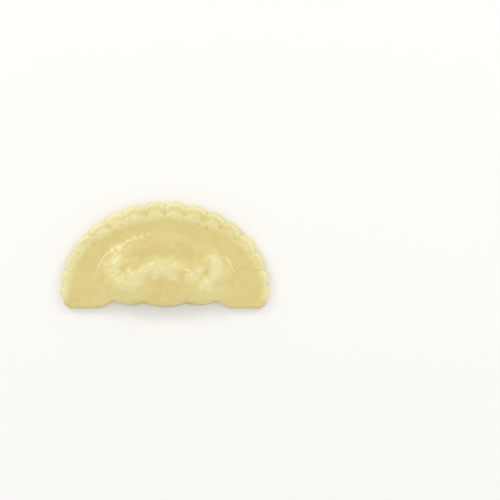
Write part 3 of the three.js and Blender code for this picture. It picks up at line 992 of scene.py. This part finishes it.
# %% [markdown]
# ## The dough's material
#
# Fresh egg pasta dough, rolled smooth between steel rollers and still moist. It is a little
# translucent, so light spreads inside it and its shadows are soft and warm, and its damp skin
# has a soft gloss. Where the sheet is thick on the rim or lies on pale filling it is creamier.
# The same paleness also carries painted highlights on the lip, pads, creases and drops, and
# painted shade in the grooves and pinches, at the cut and over the dome.
#
# A scanned texture could give the colour. Here the masks choose it from a ramp of five shades,
# so that colour and shape belong together. Two noises mottle it, one for uneven drying and one
# for kneading. Semolina grains are about a quarter of a millimetre, too fine for the picture to
# show, and are drawn about twice as coarse. IOR and roughness start from typical values.

# %% Egg pasta dough: its colour
CLOUD_SIZE = 7.0
CLOUD_STRENGTH = 0.3
MOTTLE_SIZE = 1.3
MOTTLE_STRENGTH = 0.36
PLAIN_SHADE = "#d2c17c"
SHADES_BETWEEN = {0.16: "#d9c985", 0.5: "#e0d69a", 0.75: "#e6dda7"}
PALEST_SHADE = "#ede4b4"
SPECK_COLOUR = "#8f7a30"
SPECK_STRENGTH = 0.4
FOLD_SHADE = "#b9a44b"

dough = bpy.data.materials.new("egg_pasta_dough_rolled_moist")
dough.use_nodes = True
dough_tree = dough.node_tree
dough_tree.nodes.clear()
place = add(dough_tree, "ShaderNodeTexCoord").outputs["Object"]
stored = {}
for name in ("pale", "speck", "painted_fold_shade"):
    reader = add(dough_tree, "ShaderNodeAttribute", {"attribute_name": name})
    stored[name] = reader.outputs["Fac"]

creamy = stored["pale"]
patterns = {}
for size, strength in ((CLOUD_SIZE, CLOUD_STRENGTH), (MOTTLE_SIZE, MOTTLE_STRENGTH)):
    waves = {"Vector": place, "Scale": 1 / (size * MM), "Detail": 2.0}
    patterns[size] = add(dough_tree, "ShaderNodeTexNoise", inputs=waves).outputs[0]
    share = {0: patterns[size], 1: strength, 2: creamy}
    raised = add(dough_tree, "ShaderNodeMath", TIMES_PLUS, share).outputs[0]
    centring = {0: raised, 1: strength / 2}
    creamy = add(dough_tree, "ShaderNodeMath", {"operation": "SUBTRACT"}, centring).outputs[0]
ramp = add(dough_tree, "ShaderNodeValToRGB", inputs={"Fac": creamy})
stops = ramp.color_ramp.elements
stops[0].color = linear(PLAIN_SHADE)
stops[1].color = linear(PALEST_SHADE)
for at, shade in SHADES_BETWEEN.items():
    stops.new(at).color = linear(shade)
print("dough in", len(stops), "shades")

# %% Egg pasta dough: its specks, its painted shade on the fold, and its moist surface
GRAIN_SIZE = 0.55
GRAIN_DEPTH = 0.06
LIGHT_SPREAD = 1.4

speck_share = {0: stored["speck"], 1: SPECK_STRENGTH}
speck_share = add(dough_tree, "ShaderNodeMath", TIMES, speck_share).outputs[0]
speckled = add(
    dough_tree, "ShaderNodeMix", {"data_type": "RGBA"},
    {0: speck_share, 6: ramp.outputs["Color"], 7: linear(SPECK_COLOUR)},
)
# Painted shade: the fold's rounded side and its notches are mixed towards a darker colour
colour = add(
    dough_tree, "ShaderNodeMix", {"data_type": "RGBA"},
    {0: stored["painted_fold_shade"], 6: speckled.outputs[2], 7: linear(FOLD_SHADE)},
)
waves = {"Vector": place, "Scale": 1 / (GRAIN_SIZE * MM), "Detail": 3.0}
grain = add(dough_tree, "ShaderNodeTexNoise", inputs=waves).outputs[0]
relief = {"Height": grain, "Strength": 0.25, "Distance": GRAIN_DEPTH * MM}
bump = add(dough_tree, "ShaderNodeBump", inputs=relief)
dampness = {"Value": patterns[CLOUD_SIZE], "To Min": 0.34, "To Max": 0.5}
damp = add(dough_tree, "ShaderNodeMapRange", inputs=dampness)
surface = add(
    dough_tree, "ShaderNodeBsdfPrincipled",
    inputs={
        "Base Color": colour.outputs[2], "Roughness": damp.outputs[0], "Normal": bump.outputs[0],
        "IOR": 1.45, "Specular IOR Level": 0.2,  # starch and egg, with a dull skin of its own
        "Coat Weight": 0.9, "Coat Roughness": 0.23, "Coat IOR": 1.36,  # the film of moisture
        "Subsurface Weight": 0.3, "Subsurface Radius": (1.0, 0.8, 0.45),
        "Subsurface Scale": LIGHT_SPREAD * MM,
    },
)
add(dough_tree, "ShaderNodeOutputMaterial", inputs={"Surface": surface.outputs[0]})
print(len(dough_tree.nodes), "nodes make the dough")

# %% [markdown]
# ## Run the trees, then keep the plain mesh
#
# A modifier finds its inputs by identifier, not by label, so the labels are looked up first.
# The two trees could be joined in one, but apart each can be switched off and looked at. Their
# result is then taken as a plain mesh. Noise may push a few vertices a hair past the solid that
# this skin stands for, so those are brought back to its box.


# %% Shape the pasta
def set_inputs(modifier, values):
    """Fills a geometry modifier's inputs from their labels, by each one's own identifier."""
    for item in modifier.node_group.interface.items_tree:
        if item.item_type == "SOCKET" and item.in_out == "INPUT" and item.name in values:
            modifier[item.identifier] = values[item.name]


for tree, sizes in ((raising, relief_inputs), (grains, GRAINS)):
    modifier = pasta.modifiers.new(tree.name, "NODES")
    modifier.node_group = tree
    set_inputs(modifier, {**sizes, "Material": dough})
depsgraph = bpy.context.evaluated_depsgraph_get()
shaped = bpy.data.meshes.new_from_object(pasta.evaluated_get(depsgraph), depsgraph=depsgraph)
pasta.modifiers.clear()
pasta.data = shaped
shaped.shade_smooth()
print(len(shaped.polygons), "faces, material:", shaped.materials[0].name)

# %% Keep it in the solid's box, hide the solid, and attach the pasta to the root body
TOLERANCE = 0.02 * MM

placed = np.array([v.co for v in shaped.vertices])
too_low = placed < np.array(cad_low) - TOLERANCE
too_high = placed > np.array(cad_high) + TOLERANCE
print(int((too_low | too_high).any(axis=1).sum()), "vertices are brought back")
placed = np.clip(placed, cad_low, cad_high)
shaped.vertices.foreach_set("co", placed.astype(np.float32).ravel())
shaped.update()
print("pasta in mm:", (placed.min(axis=0) / MM).round(2), (placed.max(axis=0) / MM).round(2))

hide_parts("filled_pasta")
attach(pasta, "root")

# %% [markdown]
# ## The floor
#
# The pasta lies on plain paper that is nearly white. A curved backdrop would do as well, but
# from straight above it looks the same, so one large square is enough.

# %% Floor of matt white paper
FLOOR_HALF_WIDTH = 2.0

floor_mesh = bpy.data.meshes.new("floor")
around = ((-1, -1), (1, -1), (1, 1), (-1, 1))
floor_corners = [(side * FLOOR_HALF_WIDTH, end * FLOOR_HALF_WIDTH, 0) for side, end in around]
floor_mesh.from_pydata(floor_corners, [], [(0, 1, 2, 3)])
floor = bpy.data.objects.new("floor", floor_mesh)
bpy.context.scene.collection.objects.link(floor)
paper = bpy.data.materials.new("matt_white_paper")
paper.use_nodes = True
paper_surface = paper.node_tree.nodes["Principled BSDF"]
paper_surface.inputs["Base Color"].default_value = linear("#f4f3f0")
paper_surface.inputs["Roughness"].default_value = 0.9
floor_mesh.materials.append(paper)
print("floor", 2 * FLOOR_HALF_WIDTH, "m wide")

# %% [markdown]
# ## The light
#
# Most of the light is an even glow from all sides, which keeps the dough's shading as faint as
# it is under a big studio tent. Alone it would look dull, so two small soft boxes stand behind
# the pasta's arc, low on the left and the right. They are weak, but the moist skin mirrors them
# where it tilts towards them, as thin wet glints on the creases, drops and scallops.

# %% An even glow and two soft boxes
GLOW_STRENGTH = 0.94
BOX_WIDTH = 0.16
BOX_COLOUR = (1.0, 0.965, 0.9)

world = bpy.data.worlds.new("studio")
world.use_nodes = True
glow = world.node_tree.nodes["Background"].inputs
glow["Color"].default_value = linear("#ffffff")
glow["Strength"].default_value = GLOW_STRENGTH
bpy.context.scene.world = world


def soft_box(name, position, watts):
    """A round soft box at a position in metres, facing the pasta."""
    lamp = bpy.data.lights.new(name, "AREA")
    lamp.shape = "DISK"
    lamp.size = BOX_WIDTH
    lamp.energy = watts
    lamp.color = BOX_COLOUR
    box = bpy.data.objects.new(name, lamp)
    box.location = position
    box.rotation_mode = "QUATERNION"
    box.rotation_quaternion = (-Vector(position)).to_track_quat("-Z", "Y")
    bpy.context.scene.collection.objects.link(box)


soft_box("left_box", position=(-0.43, 0.43, 0.38), watts=0.78)
soft_box("right_box", position=(0.45, 0.4, 0.38), watts=0.64)
bpy.context.scene.view_settings.view_transform = "Standard"
print("glow", GLOW_STRENGTH, "and", len(bpy.data.lights), "soft boxes")
